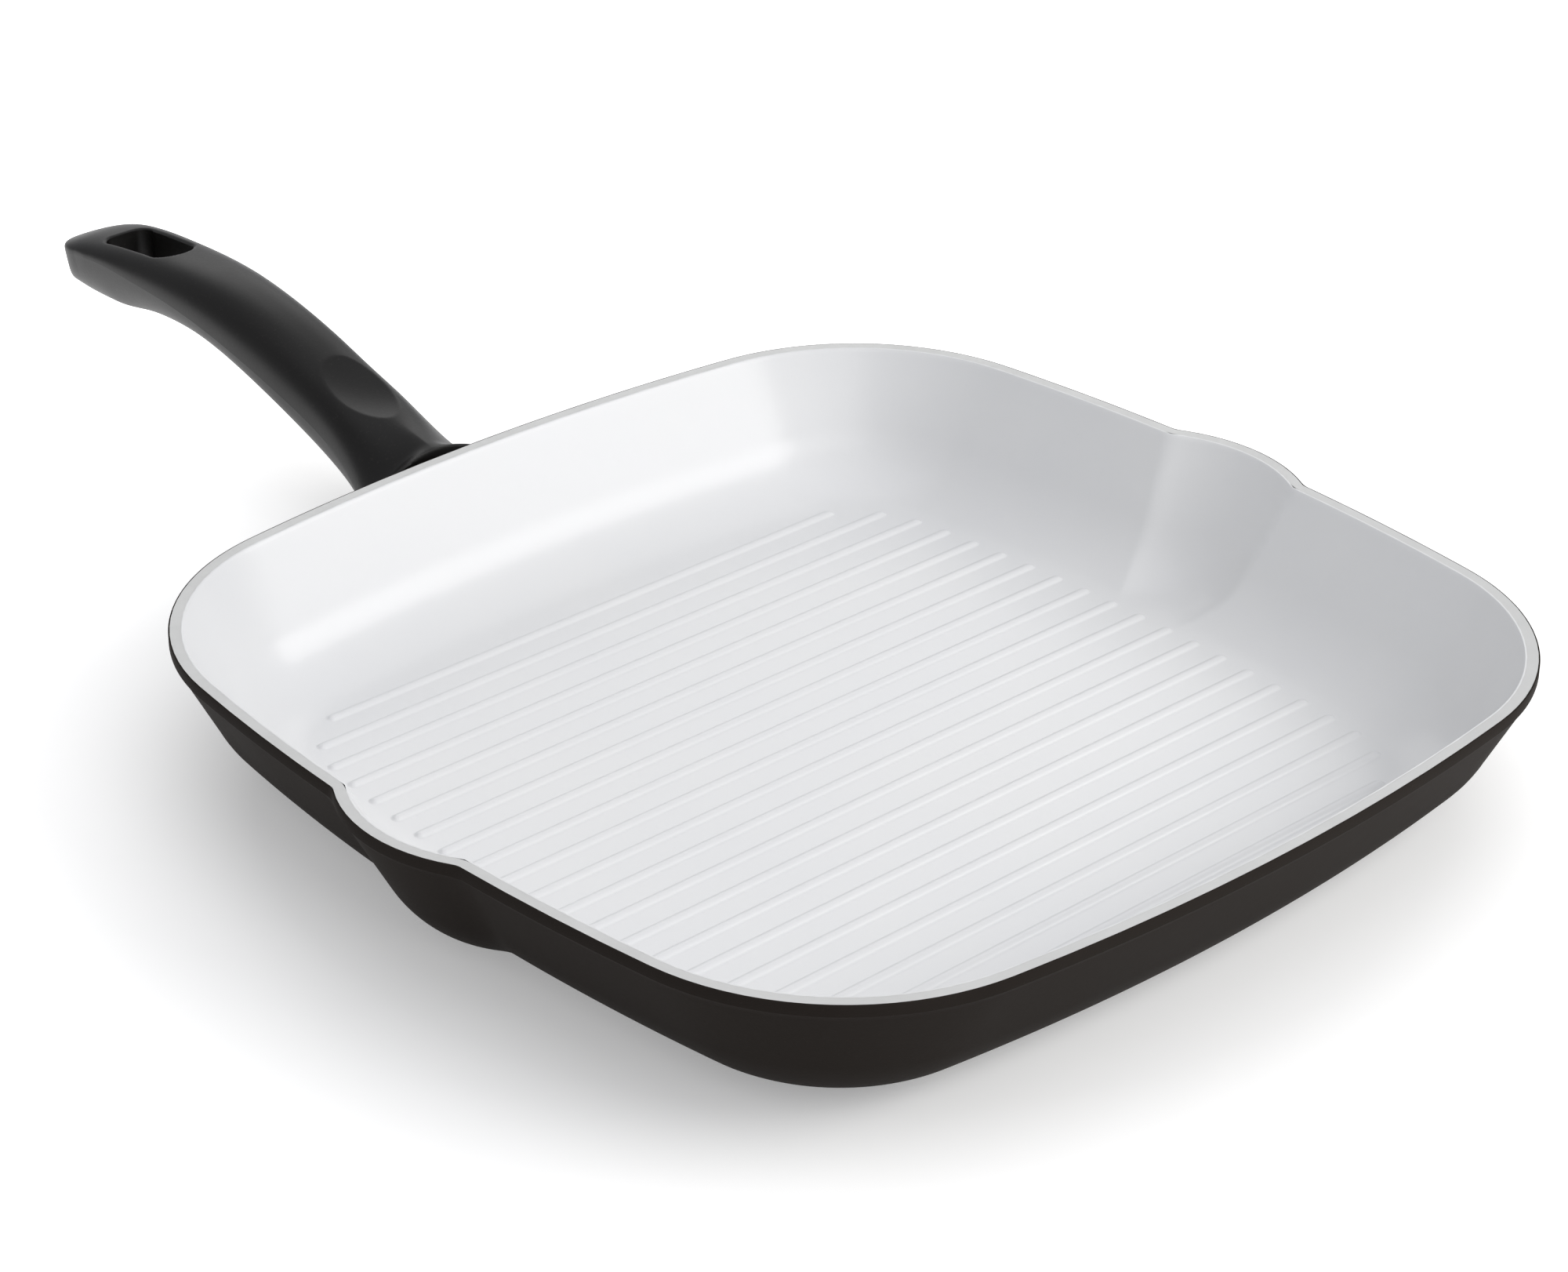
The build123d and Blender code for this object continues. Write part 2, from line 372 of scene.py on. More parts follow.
def white_ceramic():
    """Sprayed sol-gel ceramic: satin, a faint orange peel and a few fine pigment specks."""
    finish = Finish("white_ceramic")
    peel = finish.noise(420, 2, 0.5)
    grain = finish.noise(2600, 1, 0.5)
    cloud = finish.noise(14, 3, 0.6)
    specks = finish.band(finish.noise(1900, 2, 0.7), 0.70, 0.76)
    patches = finish.band(cloud, 0.35, 0.65)
    base = finish.mix(patches, colour(0.80, 0.802, 0.81), colour(0.82, 0.82, 0.822))
    base = finish.mix(specks * 0.22, base, colour(0.60, 0.59, 0.57))
    rough = finish.band(cloud + 0.25 * grain, 0.4, 0.8, 0.30, 0.38)
    normal = finish.bump(peel + 0.4 * grain, 0.00003, 0.5)
    glaze = {"IOR": 1.5, "Coat_Weight": 0.25, "Coat_Roughness": 0.18}
    return finish.principled(Base_Color=base, Roughness=rough, Normal=normal, **glaze)


def dark_coating():
    """Matte heat-proof paint over the cast outside: fine grit, faint clouds in tone and sheen."""
    finish = Finish("dark_coating")
    grit = finish.noise(1500, 3, 0.6)
    pores = finish.noise(520, 2, 0.5)
    cloud = finish.noise(18, 4, 0.6)
    warm = finish.band(cloud, 0.3, 0.7)
    base = finish.mix(warm, colour(0.0205, 0.0165, 0.0142), colour(0.0265, 0.0222, 0.0195))
    base = finish.mix(finish.band(grit, 0.62, 0.74) * 0.4, base, colour(0.042, 0.034, 0.029))
    rough = finish.band(cloud + 0.35 * grit, 0.45, 0.95, 0.58, 0.70)
    normal = finish.bump(grit + 0.5 * pores, 0.00005, 0.55)
    skin = {"Specular_IOR_Level": 0.035}
    return finish.principled(Base_Color=base, Roughness=rough, Normal=normal, **skin)


def black_phenolic():
    """Moulded black phenolic: fine filler specks under a semi-matte skin."""
    finish = Finish("black_phenolic")
    filler = finish.noise(1250, 3, 0.65)
    skin = finish.noise(300, 2, 0.5)
    cloud = finish.noise(22, 3, 0.5)
    specks = finish.band(filler, 0.58, 0.72)
    base = finish.mix(specks, colour(0.0030, 0.0024, 0.0021), colour(0.012, 0.0105, 0.0092))
    rough = finish.band(cloud + 0.4 * filler, 0.5, 1.0, 0.38, 0.50)
    normal = finish.bump(filler + 0.6 * skin, 0.00004, 0.5)
    sheen = {"Specular_IOR_Level": 0.36}
    return finish.principled(Base_Color=base, Roughness=rough, Normal=normal, **sheen)


def bare_aluminium():
    """Machined cast aluminium: fine tool lines and a soft oxide haze."""
    finish = Finish("bare_aluminium")
    lines = finish.noise(900, 2, 0.5, finish.stretched((1.0, 1.0, 0.2)))
    fine = finish.noise(3200, 2, 0.6)
    haze = finish.noise(45, 3, 0.6)
    patches = finish.band(haze, 0.3, 0.7)
    base = finish.mix(patches, colour(0.64, 0.64, 0.632), colour(0.70, 0.70, 0.692))
    rough = finish.band(lines + 0.4 * fine, 0.5, 0.9, 0.40, 0.52)
    normal = finish.bump(lines + 0.5 * fine, 0.00002, 0.5)
    return finish.principled(Base_Color=base, Metallic=0.25, Roughness=rough, Normal=normal)


def screw_steel():
    """Zinc plated steel: pale, with fine turning marks."""
    finish = Finish("screw_steel")
    turned = finish.noise(2400, 2, 0.6)
    haze = finish.noise(260, 3, 0.6)
    patches = finish.band(haze, 0.3, 0.7)
    base = finish.mix(patches, colour(0.55, 0.55, 0.56), colour(0.64, 0.64, 0.63))
    rough = finish.band(turned + haze, 0.8, 1.3, 0.24, 0.42)
    normal = finish.bump(turned, 0.00002, 0.4)
    return finish.principled(Base_Color=base, Metallic=1.0, Roughness=rough, Normal=normal)


def pale_floor():
    """Plain white paper that keeps the shadow, and glows: dimly near the pan, which paints shade
    round it, and all white from some way out. The glow shows to the camera and in reflections.
    """
    finish = Finish("pale_floor")
    paper = finish.noise(160, 3, 0.6)
    base = finish.mix(paper, colour(0.806, 0.80, 0.792), colour(0.826, 0.82, 0.812))
    matt = finish.node("ShaderNodeBsdfDiffuse", None, {"Color": base})
    out = finish.node("ShaderNodeVectorMath", {"operation": "LENGTH"}, {0: finish.place()}, "Value")
    # Painted shade: the glow grows from floor_glow near the pan to full white at glow_far, so the
    # floor round the pan stays darker.
    far = finish.band(out, glow_near, glow_far)
    lit = finish.mix(far, colour(floor_glow, floor_glow, floor_glow), colour(1, 1, 1))
    glow = finish.node("ShaderNodeEmission", None, {"Color": lit, "Strength": 1.0})
    # The glow is seen by camera, glossy and transmission rays only: it shows in reflections on the
    # pan but lights nothing.
    seen = finish.light_path("Is Camera Ray") + finish.light_path("Is Glossy Ray")
    seen = seen + finish.light_path("Is Transmission Ray")
    both = finish.node("ShaderNodeAddShader", None, {0: matt, 1: glow})
    return finish.surface(finish.node("ShaderNodeMixShader", None, {0: seen, 1: matt, 2: both}))


# Making pieces

def make_piece(name, shell, material):
    """A mesh piece from a shell in millimetres."""
    mesh = bpy.data.meshes.new(name)
    points = [tuple(mm * float(v) for v in point) for point in shell.points]
    mesh.from_pydata(points, [], shell.faces)
    mesh.validate()
    mesh.materials.append(material)
    shade(mesh, made_crease)
    piece = bpy.data.objects.new(name, mesh)
    bpy.context.collection.objects.link(piece)
    return piece


def shade(mesh, crease):
    """Smooth shading, broken where faces turn by more than the crease angle."""
    mesh.polygons.foreach_set("use_smooth", [True] * len(mesh.polygons))
    mesh.set_sharp_from_angle(angle=radians(crease))
    mesh.update()


class Shell:
    """Points and faces gathered from rings of equal length."""

    def __init__(self):
        self.points = []
        self.faces = []

    def ring(self, points):
        start = len(self.points)
        self.points.extend(points)
        return list(range(start, start + len(points)))

    def skin(self, rings):
        """Quads between neighbouring rings."""
        for before, after in zip(rings, rings[1:]):
            count = len(before)
            for i in range(count):
                j = (i + 1) % count
                self.faces.append((before[i], before[j], after[j], after[i]))

    def fan(self, ring, centre, flip=False):
        """Triangles from a ring to a centre."""
        middle = len(self.points)
        self.points.append(centre)
        for i in range(len(ring)):
            j = (i + 1) % len(ring)
            self.faces.append((ring[j], ring[i], middle) if flip else (ring[i], ring[j], middle))


def soft_max(a, b, k):
    """The larger of two values, rounded where they are within k of each other."""
    near = np.clip(k - np.abs(a - b), 0, None) / k
    return np.maximum(a, b) + near * near * k / 4


def soft_min(a, b, k):
    return -soft_max(-a, -b, k)


# The pan's outline and section

def corner_place(half, side, corner):
    """Where a corner arc's centre lies along X and along Y, so that it meets the sides smoothly."""
    shift = side - half
    reach = side - corner
    return (sqrt(2 * reach * reach - shift * shift) - shift) / 2


def quarter_turns():
    """Outward directions over a quarter of the outline."""
    place = corner_place(rim_half, side_radius, corner_radius)
    lean = np.arcsin(place / (side_radius - corner_radius))
    side = np.linspace(0, lean, outline_side_steps, endpoint=False)
    corner = np.linspace(lean, pi / 2 - lean, outline_corner_steps, endpoint=False)
    other_side = np.linspace(pi / 2 - lean, pi / 2, outline_side_steps + 1)
    return np.concatenate([side, corner, other_side])


def all_angles():
    """Angles round the pan, closer together at the spouts."""
    near = np.radians(np.arange(0, spout_sector, spout_spacing))
    rest = np.radians(np.arange(spout_sector, 90, wall_spacing))
    quarter_way = np.concatenate([near, rest])
    half_way = np.concatenate([quarter_way, [pi / 2], pi - quarter_way[::-1]])
    return np.concatenate([half_way, pi + half_way[1:-1]])


turns = quarter_turns()
angles = all_angles()


def quarter(shrink, tighter=0.0):
    """A quarter of the outline, drawn in by a distance, one point for each outward direction."""
    half = rim_half - shrink
    side = side_radius - shrink
    corner = corner_radius - shrink - tighter
    place = corner_place(half, side, corner)
    lean = np.arcsin(place / (side - corner))
    x = np.where(turns < lean, half - side, np.where(turns > pi / 2 - lean, 0, place))
    y = np.where(turns < lean, 0, np.where(turns > pi / 2 - lean, half - side, place))
    radius = np.where((turns < lean) | (turns > pi / 2 - lean), side, corner)
    return np.stack([x + radius * np.cos(turns), y + radius * np.sin(turns)], -1)


def polar(points):
    """How far a quarter outline reaches from the centre at each angle round the pan."""
    around = np.arctan2(points[:, 1], points[:, 0])
    reach = np.hypot(points[:, 0], points[:, 1])
    folded = np.arctan2(np.abs(np.sin(angles)), np.abs(np.cos(angles)))
    return np.interp(folded, around, reach)


def wall_shrink(inset, height=rim_height):
    """How far the drafted wall lies inside the rim at one height."""
    down = rim_height - band_height - height
    return band_step + inset / cos(wall_draft) + down * tan(wall_draft)


def tub_reach(inset, height):
    """The drafted square part at one height, with its rounded lower edge."""
    base = foot_height + inset
    rounding = edge_radius - inset
    top = quarter(wall_shrink(inset))
    low = quarter(wall_shrink(inset, base), corner_tightening)
    outward = np.stack([np.cos(turns), np.sin(turns)], -1)
    slope = ((top - low) * outward).sum(-1) / (rim_height - base)
    draft = np.arctan(slope)
    up = height - base
    wall = low + (top - low) * up / (rim_height - base)
    run = rounding * np.tan(pi / 4 - draft / 2)
    bend = np.sqrt(np.maximum(rounding ** 2 - (rounding - min(up, rounding)) ** 2, 0)) - run
    curved = low + outward * bend[:, None]
    below = up < rounding * (1 - np.sin(draft))
    return polar(np.where(below[:, None], curved, wall))


def circle_reach(radius):
    """How far a spout's circle reaches from the pan's centre at each angle."""
    across = spout_axis * np.abs(np.sin(angles))
    root = np.sqrt(np.maximum(radius ** 2 - across ** 2, 0))
    return np.where(across < radius, spout_axis * np.abs(np.cos(angles)) + root, 0)


def spout_reach(inset, height):
    """The spouts' cones at one height, with their rounded lower ends."""
    base = foot_height + inset
    rounding = spout_edge_radius - inset
    top = spout_radius - band_step + band_height * tan(wall_draft) - inset / cos(wall_draft)
    corner = top - (rim_height - base) * tan(wall_draft)
    up = height - base
    if up < rounding * (1 - sin(wall_draft)):
        flat = corner - rounding * tan(pi / 4 - wall_draft / 2)
        radius = flat + sqrt(max(rounding ** 2 - (rounding - up) ** 2, 0))
    else:
        radius = corner + up * tan(wall_draft)
    return circle_reach(radius)


def bowl_reach(inset, height, crease):
    """Tub and spouts together, with a soft crease between them."""
    return soft_max(tub_reach(inset, height), spout_reach(inset, height), crease)


def band_reach(inset):
    """The upright rim band, spouts included."""
    return soft_max(polar(quarter(inset)), circle_reach(spout_radius - inset), band_crease)


def section_heights(inset, rounding, top, steps):
    """Heights up a section, close together where the lower edge rounds off."""
    base = foot_height + inset
    bend_turns = np.linspace(0, pi / 2 - wall_draft, steps[0], endpoint=False)
    bend = base + rounding * (1 - np.cos(bend_turns))
    rise = base + rounding * (1 - sin(wall_draft))
    return np.concatenate([bend, np.linspace(rise, top, steps[1])])


def level_ring(reach, height):
    return [(r * cos(a), r * sin(a), height) for r, a in zip(reach, angles)]


def level_rings(shell, rows):
    return [shell.ring(level_ring(reach, height)) for reach, height in rows]


# Lining

def rib_profile():
    """Distances from a rib's middle line, and heights over the floor, with a soft foot."""
    axis = rib_height - rib_radius
    foot = sqrt((rib_radius + rib_foot) ** 2 - (rib_foot - axis) ** 2)
    lean = atan2(foot, rib_foot - axis)
    profile = []
    for i in range(rib_crest_steps + 1):
        turn = lean * i / rib_crest_steps
        profile.append((rib_radius * sin(turn), axis + rib_radius * cos(turn)))
    for i in range(1, rib_toe_steps + 1):
        turn = lean * (rib_toe_steps - i) / rib_toe_steps
        profile.append((foot - rib_foot * sin(turn), rib_foot - rib_foot * cos(turn)))
    return profile


def rib_reach(y):
    """How far the ribbed area reaches along X, beside a rib's middle line."""
    place = corner_place(ribbed_half, side_radius, ribbed_corner)
    if abs(y) < side_radius * place / (side_radius - ribbed_corner):
        return ribbed_half - side_radius + sqrt(side_radius ** 2 - y * y)
    return place + sqrt(ribbed_corner ** 2 - (abs(y) - place) ** 2)


def lining():
    """The pale inside: a thin shell over the casting, with the ribs standing on its floor."""
    shell = Shell()
    floor = foot_height + wall_thickness + floor_fill
    rounding = edge_radius - wall_thickness
    heights = section_heights(wall_thickness, rounding, rim_height, lining_steps)
    reaches = np.array([bowl_reach(wall_thickness, z, lining_crease) for z in heights])
    heights = soft_max(heights, floor, floor_fill)
    rings = level_rings(shell, [(reaches[0] * share, floor) for share in floor_ring_shares])
    shell.fan(rings[0], (0, 0, floor), flip=True)
    rows = list(zip(reaches[:-1], heights[:-1]))
    lip_height = rim_height - lip_start
    rows.append((bowl_reach(wall_thickness, lip_height, lining_crease), lip_height))
    edge = bowl_reach(wall_thickness, rim_height, lining_crease)
    rows += [(edge + out, rim_height - down) for out, down in lip_rows]
    behind = wall_thickness - coat
    rows.append((bowl_reach(behind, rim_height, lining_crease), rim_height))
    lowest = foot_height + behind + back_gap
    back = section_heights(behind, edge_radius - behind, rim_height - back_drop, back_steps)[::-1]
    for z in back:
        rows.append((bowl_reach(behind + back_gap, max(z, lowest), lining_crease), z + back_gap))
    rings += level_rings(shell, rows)
    shell.skin(rings)
    shell.fan(rings[-1], (0, 0, lowest))
    for index in range(-ribs_each_way, ribs_each_way + 1):
        add_rib(shell, index * rib_pitch, floor, heights, reaches)
    return make_piece("white_ceramic_lining", shell, materials["white_ceramic"])


def add_rib(shell, y, floor, heights, reaches):
    """One rib: its profile carried round a long loop with round ends."""
    reach = rib_reach(y) - rib_radius
    end_turns = np.linspace(0, pi, rib_end_steps)[1:-1]
    loop = [(x, 1.0, 0.0) for x in np.linspace(-reach, reach, rib_side_steps)]
    loop += [(reach, cos(a), sin(a)) for a in end_turns]
    loop += [(x, -1.0, 0.0) for x in np.linspace(reach, -reach, rib_side_steps)]
    loop += [(-reach, -cos(a), -sin(a)) for a in end_turns]
    rings = []
    for out, high in rib_profile():
        sink = rib_sink if high <= 0 else 0
        ring = []
        for x, side, end in loop:
            px = x + out * end
            py = y + out * side
            lift = cove_height(px, py, heights, reaches) - floor
            ring.append((px, py, floor + high + lift * (1 - high / rib_height) - sink))
        rings.append(shell.ring(ring))
    shell.skin(rings)


def cove_height(x, y, heights, reaches):
    """The lining's height at a place, for where the floor turns up into the wall."""
    far = hypot(x, y)
    if far < flat_floor_radius:
        return heights[0]
    around = atan2(abs(y), abs(x))
    column = int(np.searchsorted(angles, around))
    return float(np.interp(far, reaches[:, column], heights))


# Outer coating

def coating():
    """The dark outside: a thin shell under and round the casting, with rim band and neck."""
    shell = Shell()
    wall_top = rim_height - band_height
    flat = wall_shrink(0, foot_height) + edge_radius * tan(pi / 4 - wall_draft / 2)
    foot = polar(quarter(flat + foot_margin, corner_tightening))
    heights = section_heights(0, edge_radius, wall_top - band_step_drop, coating_steps)
    rows = [(foot, foot_height)]
    rows += [(bowl_reach(0, z, coating_crease), z) for z in heights]
    under = bowl_reach(0, wall_top, coating_crease)
    outer = band_reach(0)
    rows += [(under + share * (outer - under), wall_top + up) for share, up in band_step_rows]
    rows.append((outer, wall_top + band_step_rise))
    rows += [(band_reach(inset), rim_height - down) for inset, down in band_edge_rows]
    rows.append((band_reach(coat), wall_top + band_back_rise))
    back = [wall_top - band_back_drop]
    back += list(section_heights(coat, edge_radius - coat, wall_top - back_drop, back_steps)[::-1])
    rows += [(bowl_reach(coat, z, coating_crease), z) for z in back]
    rows.append((foot, foot_height + coat))
    rings = level_rings(shell, rows)
    shell.skin(rings + [rings[0]])
    add_neck(shell)
    return make_piece("dark_outer_coating", shell, materials["dark_coating"])


def rounded_oblong(width, height, corner):
    """Points and outward directions round an oblong with round corners."""
    rows = []
    for x, z, start in ((1, 1, 0), (-1, 1, 90), (-1, -1, 180), (1, -1, 270)):
        middle_x = x * (width / 2 - corner)
        middle_z = z * (height / 2 - corner)
        for step in range(oblong_corner_steps + 1):
            a = radians(start + 90 * step / oblong_corner_steps)
            rows.append((middle_x + corner * cos(a), middle_z + corner * sin(a), cos(a), sin(a)))
    return rows


def wall_place(x, height):
    """Where the outside of the handle's wall lies along Y."""
    up = height - foot_height
    if up < edge_radius * (1 - sin(wall_draft)):
        corner = rim_half - wall_shrink(0, foot_height)
        out = sqrt(max(edge_radius ** 2 - (edge_radius - max(up, 0)) ** 2, 0))
        y = corner - edge_radius * tan(pi / 4 - wall_draft / 2) + out
    else:
        y = rim_half - wall_shrink(0, height)
    return y - x * x / (2 * side_radius)


def add_neck(shell):
    """The neck's coating, with a soft sweep where it grows out of the wall."""
    rings = []
    for y in np.concatenate([np.linspace(*span) for span in neck_spans]):
        share = (y - neck_root) / (neck_end - neck_root)
        width = neck_root_size[0] + share * (neck_end_size[0] - neck_root_size[0])
        height = neck_root_size[1] + share * (neck_end_size[1] - neck_root_size[1])
        centre = neck_root_centre + share * (neck_end_centre - neck_root_centre)
        ring = []
        for x, z, out_x, out_z in rounded_oblong(width, height, neck_corner):
            gap = y - wall_place(x, centre + z)
            inward = min(max(neck_fillet - gap, 0), neck_fillet)
            grow = neck_fillet - sqrt(neck_fillet ** 2 - inward ** 2)
            x, z = x + grow * out_x, centre + z + grow * out_z
            ring.append((x, max(y, wall_place(x, z) - neck_bite), z))
        rings.append(shell.ring(ring))
    shell.skin(rings)
    inner_end = wall_place(0, neck_root_centre) - neck_bite
    shell.fan(rings[0], (0, inner_end, neck_root_centre), flip=True)
    shell.fan(rings[-1], (0, neck_end, neck_end_centre))


# Grip

def spline(places, values, at):
    """A natural cubic through the given values."""
    n = len(places)
    gap = np.diff(places)
    matrix = np.eye(n)
    right = np.zeros(n)
    for i in range(1, n - 1):
        matrix[i, i - 1:i + 2] = (gap[i - 1], 2 * (gap[i - 1] + gap[i]), gap[i])
        slope_before = (values[i] - values[i - 1]) / gap[i - 1]
        slope_after = (values[i + 1] - values[i]) / gap[i]
        right[i] = 6 * (slope_after - slope_before)
    bend = np.linalg.solve(matrix, right)
    i = np.clip(np.searchsorted(places, at) - 1, 0, n - 2)
    a = places[i + 1] - at
    b = at - places[i]
    h = gap[i]
    curve = (bend[i] * a ** 3 + bend[i + 1] * b ** 3) / (6 * h)
    start = values[i] / h - bend[i] * h / 6
    end = values[i + 1] / h - bend[i + 1] * h / 6
    return curve + start * a + end * b


def grip_places():
    """Places along the grip in millimetres from its root."""
    along = [np.arange(*span) for span in grip_spans]
    tip = np.sin(np.linspace(0, pi / 2 - tip_left_open, tip_slices))
    return np.concatenate(along + [grip_length - grip_half_width + grip_half_width * tip])


def dimple_centre():
    """The centre of the ball that presses the thumb dimple, square to the crown's slope."""
    table = np.array(grip_shares)
    places = table[:, 0] * grip_length
    crown = grip_root_crown + grip_rise * table[:, 2]
    beside = np.array([dimple_place - dimple_slope_run, dimple_place + dimple_slope_run])
    before, after = spline(places, crown, beside)
    slope = (after - before) / (2 * dimple_slope_run)
    lift = (dimple_radius - dimple_depth) / sqrt(1 + slope * slope)
    return neck_end + dimple_place - lift * slope, np.interp(dimple_place, places, crown) + lift


def hole_distance(x, y):
    """How far a point lies outside the hang hole's outline, negative inside."""
    run = hole_far_centre - hole_near_centre
    length = np.hypot(hole_side, run)
    growth = (hole_corner - hole_near_corner) / length
    across = np.abs(x)
    along = y - hole_near_centre
    share = np.clip((across * hole_side + along * run) / length ** 2, 0, 1)
    radius = hole_near_corner + share * (hole_corner - hole_near_corner)
    gap = np.hypot(across - share * hole_side, along - share * run)
    outside = gap - radius * sqrt(1 + growth * growth)
    past_end = np.where(y > hole_far_centre, y - hole_end, outside)
    outside = np.where(across <= hole_side, np.minimum(outside, past_end), outside)
    inside = (across <= along / run * hole_side) & (along > 0) & (y < hole_far_centre)
    depth = np.maximum(np.maximum(-along, y - hole_end), -hole_deep)
    return np.where(inside, depth, outside)


def section_shares():
    """Shares of a section's half width and height over half a turn, and each one's side."""
    turn = np.linspace(0, pi, section_steps + 1)
    across = np.abs(np.cos(turn))
    across[section_steps // 2] = 0
    up = np.abs(np.sin(turn))
    up[0] = up[-1] = 0
    side = np.where(np.arange(section_steps + 1) * 2 < section_steps, 1, -1)
    return across, up, side


def grip_section(at, width, crown, cap, depth, dome):
    """X and Z of one section, over the cap and back round the keel, rounded at the root."""
    across, up, side = section_shares()
    half = grip_half_width * width
    top = grip_root_crown + grip_rise * crown
    edge = top - grip_cap * cap
    low = top - grip_depth * depth
    power = cap_power * dome
    step_in = keel_step * min(1, max(0, (at - keel_step_start) / keel_step_run))
    cap_x = side * half * across ** (2 / power)
    cap_z = edge + (top - edge) * up ** (2 / power)
    keel_z = edge - (edge - low) * up ** (2 / keel_power)
    tuck = 1 - keel_tuck * (edge - keel_z) / (edge - low)
    keel_x = -side * (half - step_in) * tuck * across ** (2 / keel_power)
    x = np.concatenate([cap_x, keel_x])
    z = np.concatenate([cap_z, keel_z])
    if at < root_edge:
        shrink = root_edge - sqrt(root_edge ** 2 - (root_edge - at) ** 2)
        middle = (top + low) / 2
        x = x * (1 - shrink / half)
        z = middle + (z - middle) * (1 - shrink / (top - middle))
    return x, z


def round_tip(at, x, z):
    """X of a section, drawn in by the round, leaning tip, and where its points lie along Y."""
    past = neck_end + at - tip_centre
    bound = grip_half_width + (z - (grip_root_crown + grip_rise - grip_cap)) * tan(tip_draft)
    if past <= -tip_edge_run:
        return x, np.full_like(x, neck_end + at)
    room = bound * sqrt(max(1 - (max(past, 0) / grip_half_width) ** 2, 0))
    soft = max(tip_least_edge, tip_edge * min(1, (past + tip_edge_run) / tip_edge_run))
    limit = soft_min(np.abs(x), room, min(soft, float(room.min()) + tip_least_edge))
    x = np.sign(x) * np.maximum(limit, 0)
    if past <= 0:
        return x, np.full_like(x, neck_end + at)
    return x, tip_centre + past * bound / grip_half_width


def press_cap(x, y, z, ball):
    """Heights of a section once its cap has the thumb dimple and the hang hole's rounded lip."""
    on_cap = np.arange(len(x)) <= section_steps
    reach = dimple_radius ** 2 - x ** 2 - (y - ball[0]) ** 2
    under_ball = np.where(reach > 0, ball[1] - np.sqrt(np.maximum(reach, 0)), far_above)
    z = np.where(on_cap & (reach > 0), soft_min(z, under_ball, dimple_edge), z)
    lip = np.clip(hole_lip - hole_distance(x, y), 0, hole_lip_depth * hole_lip)
    return np.where(on_cap, z - lip * lip / (2 * hole_lip), z)


def grip_mesh():
    """The grip's skin before its holes are cut."""
    table = np.array(grip_shares)
    places = grip_places()
    columns = [spline(table[:, 0] * grip_length, table[:, i], places) for i in range(1, 6)]
    ball = dimple_centre()
    shell = Shell()
    rings = []
    for at, *shares in zip(places, *columns):
        x, z = grip_section(at, *shares)
        x, y = round_tip(at, x, z)
        rings.append(shell.ring(list(zip(x, y, press_cap(x, y, z, ball)))))
    shell.skin(rings)
    shell.faces = [tuple(reversed(face)) for face in shell.faces]
    shell.faces.append(tuple(rings[0]))
    cap_side = rings[-1][:section_steps + 1]
    keel_side = rings[-1][section_steps + 1:]
    half_way = section_steps // 2
    for row in (cap_side, keel_side):
        for i in range(half_way - 1):
            shell.faces.append((row[i], row[-1 - i], row[-2 - i], row[i + 1]))
        shell.faces.append((row[half_way - 1], row[half_way + 1], row[half_way]))
    shell.faces.append((cap_side[0], keel_side[-1], keel_side[0], cap_side[-1]))
    return shell


def prism(name, outline, low, high, stand=Matrix.Identity(4)):
    """A cutter: an outline in its stand's XY plane, between two heights."""
    shell = Shell()
    bottom = shell.ring([tuple(stand @ Vector((x, y, low))) for x, y in outline])
    top = shell.ring([tuple(stand @ Vector((x, y, high))) for x, y in outline])
    shell.skin([bottom, top])
    shell.faces.append(tuple(reversed(bottom)))
    shell.faces.append(tuple(top))
    return make_piece(name, shell, materials["black_phenolic"])


def hole_outline():
    """The hang hole: round at the pan's end, and wider with two small corners at the tip's end."""
    run = hole_far_centre - hole_near_centre
    lean = atan2(hole_side, run)
    tilt = lean - np.arcsin((hole_corner - hole_near_corner) / hypot(hole_side, run))
    arcs = (
        (0, hole_near_centre, hole_near_corner, -pi + tilt, -tilt),
        (hole_side, hole_far_centre, hole_corner, -tilt, pi / 2),
        (-hole_side, hole_far_centre, hole_corner, pi / 2, pi + tilt),
    )
    points = []
    for x, y, radius, start, end in arcs:
        for a in np.linspace(start, end, hole_corner_steps):
            points.append((x + radius * cos(a), y + radius * sin(a)))
    return points


def round_outline(radius):
    turn = 2 * pi / round_steps
    return [(radius * cos(turn * i), radius * sin(turn * i)) for i in range(round_steps)]


def tilted(along):
    """A stand on the tongue's centre line: X across, Y along the tongue, Z square to it."""
    y = neck_end + along * cos(tongue_tilt)
    z = neck_end_centre + along * sin(tongue_tilt)
    return Matrix.Translation((0, y, z)) @ Matrix.Rotation(tongue_tilt, 4, "X")


def grip():
    """The grip with its hang hole, socket, screw passage and counterbore cut."""
    body = make_piece("black_handle_grip", grip_mesh(), materials["black_phenolic"])
    tongue_low = -tongue_size[1] / 2
    seat = tongue_low - seat_thickness
    width, height = [size + 2 * fit_clearance for size in tongue_size]
    socket = [(x, y) for x, y, _, _ in rounded_oblong(width, height, tongue_corner)]
    passage = round_outline(screw_radius + fit_clearance)
    at_socket = tilted(0) @ Matrix.Rotation(-pi / 2, 4, "X")
    at_screw = tilted(screw_place)
    cutters = [
        prism("hole_cutter", hole_outline(), 0, hole_cutter_top),
        prism("socket_cutter", socket, -tongue_corner, tongue_length + fit_clearance, at_socket),
        prism("passage_cutter", passage, seat - overrun, tongue_low + overrun, at_screw),
        prism("bore_cutter", round_outline(counterbore_radius), seat - bore_run, seat, at_screw),
    ]
    for cutter in cutters:
        cut = body.modifiers.new(cutter.name, "BOOLEAN")
        cut.operation = "DIFFERENCE"
        cut.solver = "EXACT"
        cut.object = cutter
    bpy.context.view_layer.update()
    cut_body = body.evaluated_get(bpy.context.evaluated_depsgraph_get())
    result = bpy.data.meshes.new_from_object(cut_body)
    body.modifiers.clear()
    body.data = result
    for cutter in cutters:
        bpy.data.objects.remove(cutter)
    shade(result, cut_crease)
    result.name = "black_handle_grip"
    return body


# Studio

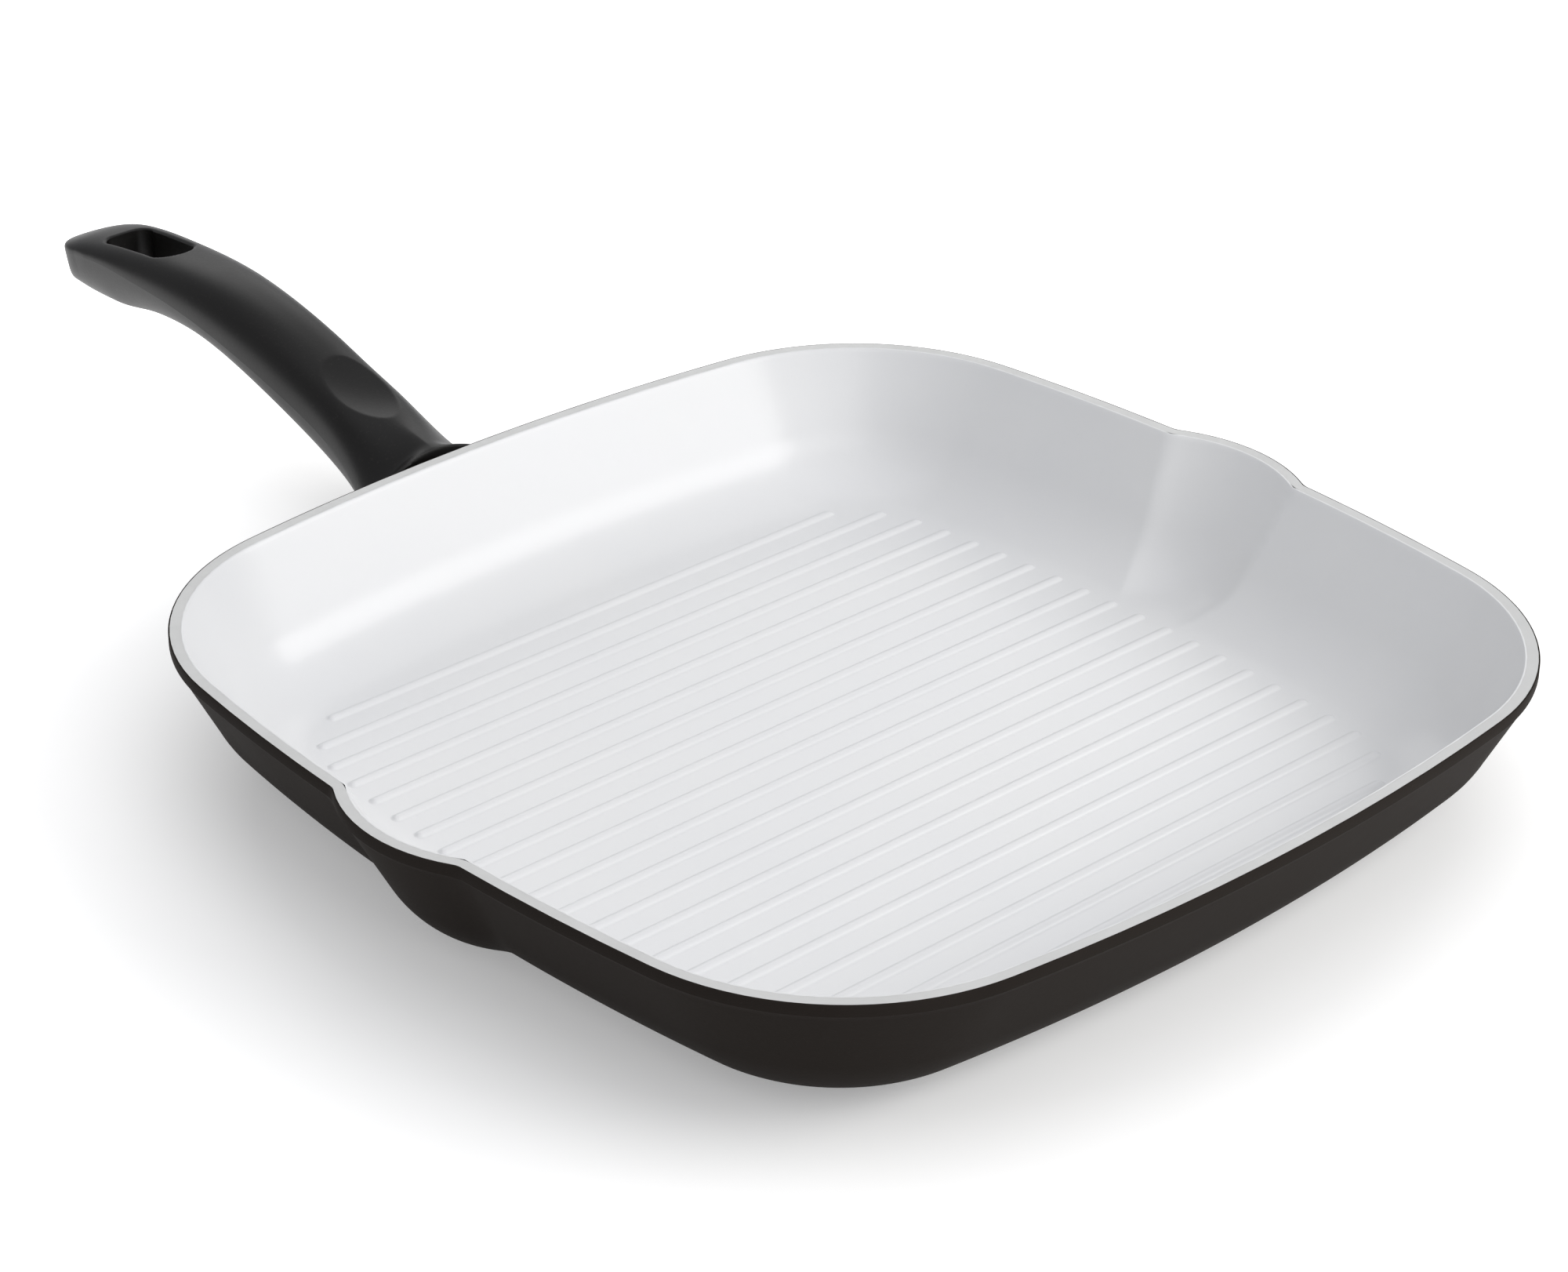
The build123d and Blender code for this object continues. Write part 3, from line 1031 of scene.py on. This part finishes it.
def aim(place, target):
    """A world matrix at a place, looking at a target."""
    back = np.array(place, float) - np.array(target, float)
    back /= np.linalg.norm(back)
    right = np.cross((0, 0, 1), back)
    right /= np.linalg.norm(right)
    return world_matrix(right, np.cross(back, right), back, place)


def world_matrix(right, up, back, place):
    rows = [[right[i], up[i], back[i], place[i]] for i in range(3)]
    return Matrix(rows + [[0, 0, 0, 1]])


def lamp(name, place, size, watts, tint, target):
    data = bpy.data.lights.new(name, "AREA")
    data.shape = "RECTANGLE"
    data.size, data.size_y = size
    data.energy = watts
    data.color = tint
    item = bpy.data.objects.new(name, data)
    bpy.context.collection.objects.link(item)
    item.matrix_world = aim(place, target)
    item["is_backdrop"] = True


def studio():
    """Floor, sky and lamps."""
    shell = Shell()
    corners = [(-1, -1), (1, -1), (1, 1), (-1, 1)]
    shell.faces.append(tuple(shell.ring([(x * floor_half, y * floor_half, 0) for x, y in corners])))
    floor = make_piece("floor", shell, pale_floor())
    floor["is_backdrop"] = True
    world = bpy.data.worlds.new("sky")
    world.use_nodes = True
    bpy.context.scene.world = world
    sky = world.node_tree.nodes["Background"]
    sky.inputs["Color"].default_value = colour(*sky_tint)
    sky.inputs["Strength"].default_value = sky_strength
    for row in lamps:
        lamp(*row)


def camera():
    """The camera at the photograph's place, with its slight roll."""
    level = np.array([cos(camera_yaw), -sin(camera_yaw), 0.0])
    ahead = np.array([sin(camera_yaw), cos(camera_yaw), 0.0])
    forward = cos(camera_pitch) * ahead - np.array([0.0, 0.0, sin(camera_pitch)])
    up = np.cross(level, forward)
    right = cos(camera_roll) * level + sin(camera_roll) * up
    upright = cos(camera_roll) * up - sin(camera_roll) * level
    place = (np.array([*camera_aim, 0.0]) - forward * camera_distance) * mm
    data = bpy.data.cameras.new("photo_camera")
    data.sensor_fit = "HORIZONTAL"
    data.sensor_width = sensor_width
    data.lens = camera_lens
    data.clip_start = nearest_seen
    data.clip_end = farthest_seen
    item = bpy.data.objects.new("photo_camera", data)
    bpy.context.collection.objects.link(item)
    item.matrix_world = world_matrix(right, upright, -forward, place)
    bpy.context.scene.camera = item


def dress(node, material):
    """A finish for a solid that is shown as it is."""
    mesh = bpy.data.objects[node].data
    mesh.materials.clear()
    mesh.materials.append(material)


materials = {
    "white_ceramic": white_ceramic(),
    "dark_coating": dark_coating(),
    "black_phenolic": black_phenolic(),
    "bare_aluminium": bare_aluminium(),
    "screw_steel": screw_steel(),
}

own_pieces = (
    (lining(), "ceramic_lining", "white_ceramic"),
    (coating(), "outer_coating", "dark_coating"),
    (grip(), "handle_grip", "black_phenolic"),
)
for piece, node, slot in own_pieces:
    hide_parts(node)
    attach(piece, "root")

dress("pan_casting", materials["bare_aluminium"])
dress("handle_screw", materials["screw_steel"])
dress("spring_washer", materials["screw_steel"])

studio()
camera()
bpy.context.scene.view_settings.view_transform = "Standard"


def plain(value):
    """Bounds as plain lists of numbers."""
    if isinstance(value, dict):
        return {key: plain(item) for key, item in value.items()}
    if hasattr(value, "__len__") and not isinstance(value, str):
        return [plain(item) for item in value]
    return float(value)


{"cad": plain(cad_bounds), "scene": plain(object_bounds())}
